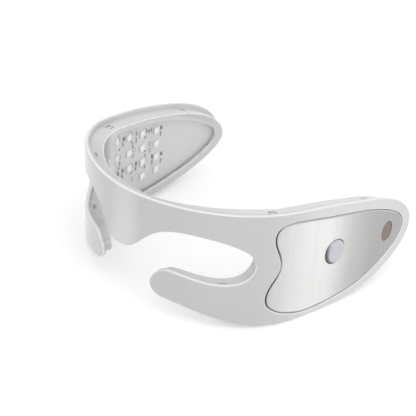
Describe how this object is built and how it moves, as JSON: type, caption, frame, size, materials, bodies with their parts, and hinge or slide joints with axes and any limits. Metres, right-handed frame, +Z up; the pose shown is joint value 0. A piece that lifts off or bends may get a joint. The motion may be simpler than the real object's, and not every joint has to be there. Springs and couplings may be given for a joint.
{
  "type": "led eye massager",
  "caption": "Wrap-around light visor with open eye spaces, a nose lobe, prongs under the eyes, light boards in clear inner trays and a round side button.",
  "frame": {"origin": "middle of the visor's bounding box seen from above, on the surface that the arms stand on", "axes": "+Z up from that surface, with the visor tipped forwards to its balance; the wearer looks along -Y, and +X is the wearer's left, where the button is"},
  "size_m": [0.1676, 0.1618, 0.0712],
  "materials": {
    "shell": "gloss",
    "tray": "clear gloss",
    "plate": "polished",
    "tape": "matte",
    "button": "satin",
    "status": "gloss",
    "board": "matte",
    "led": "gloss",
    "circuit": "satin",
    "black": "matte",
    "steel": "satin",
    "pouch": "satin",
    "ribbon": "satin"
  },
  "bodies": {
    "visor": {"outer_shell": "shell", "inner_cover": "tray", "mirror_plate_left": "plate", "mirror_plate_right": "plate", "mirror_tape_left": "tape", "mirror_tape_right": "tape", "switch_body": "steel", "indicator_window": "status", "indicator_led": "led", "led_board_left": "board", "led_board_right": "board", "eye_board_left": "board", "eye_board_right": "board", "control_board": "circuit", "battery": "pouch", "bridge_ribbon": "ribbon", "charging_port": "steel", "port_tongue": "black", "motor_left": "steel", "motor_right": "steel", "arm_led_left_1": "led", "arm_led_left_2": "led", "arm_led_left_3": "led", "arm_led_left_4": "led", "arm_led_left_5": "led", "arm_led_left_6": "led", "arm_led_left_7": "led", "arm_led_left_8": "led", "arm_led_left_9": "led", "arm_led_left_10": "led", "arm_led_left_11": "led", "arm_led_left_12": "led", "arm_led_left_13": "led", "arm_led_right_1": "led", "arm_led_right_2": "led", "arm_led_right_3": "led", "arm_led_right_4": "led", "arm_led_right_5": "led", "arm_led_right_6": "led", "arm_led_right_7": "led", "arm_led_right_8": "led", "arm_led_right_9": "led", "arm_led_right_10": "led", "arm_led_right_11": "led", "arm_led_right_12": "led", "arm_led_right_13": "led", "eye_led_left_1": "led", "eye_led_left_2": "led", "eye_led_left_3": "led", "eye_led_right_1": "led", "eye_led_right_2": "led", "eye_led_right_3": "led"},
    "button": {"power_button": "button"},
    "plunger": {"switch_plunger": "black"},
    "weight_left": {"motor_weight_left": "steel"},
    "weight_right": {"motor_weight_right": "steel"}
  },
  "joints": [
    {"name": "button_press", "type": "slide", "parent": "visor", "child": "button", "axis": [-0.9919, 0.1151, -0.0533], "range_m": [0, 0.0005], "stiffness_N_per_m": 400},
    {"name": "switch_press", "type": "slide", "parent": "visor", "child": "plunger", "axis": [-0.9919, 0.1151, -0.0533], "range_m": [0, 0.0005]},
    {"name": "motor_spin_left", "type": "hinge", "parent": "visor", "child": "weight_left", "pos_m": [0.06054, -0.04133, 0.01587], "axis": [0.5404, 0.8342, 0.1098], "continuous": true},
    {"name": "motor_spin_right", "type": "hinge", "parent": "visor", "child": "weight_right", "pos_m": [-0.06053, -0.04133, 0.01587], "axis": [-0.5404, 0.8342, 0.1098], "continuous": true}
  ],
  "couplings": [
    {"joint": "switch_press", "follows": "button_press", "ratio": 1}
  ]
}
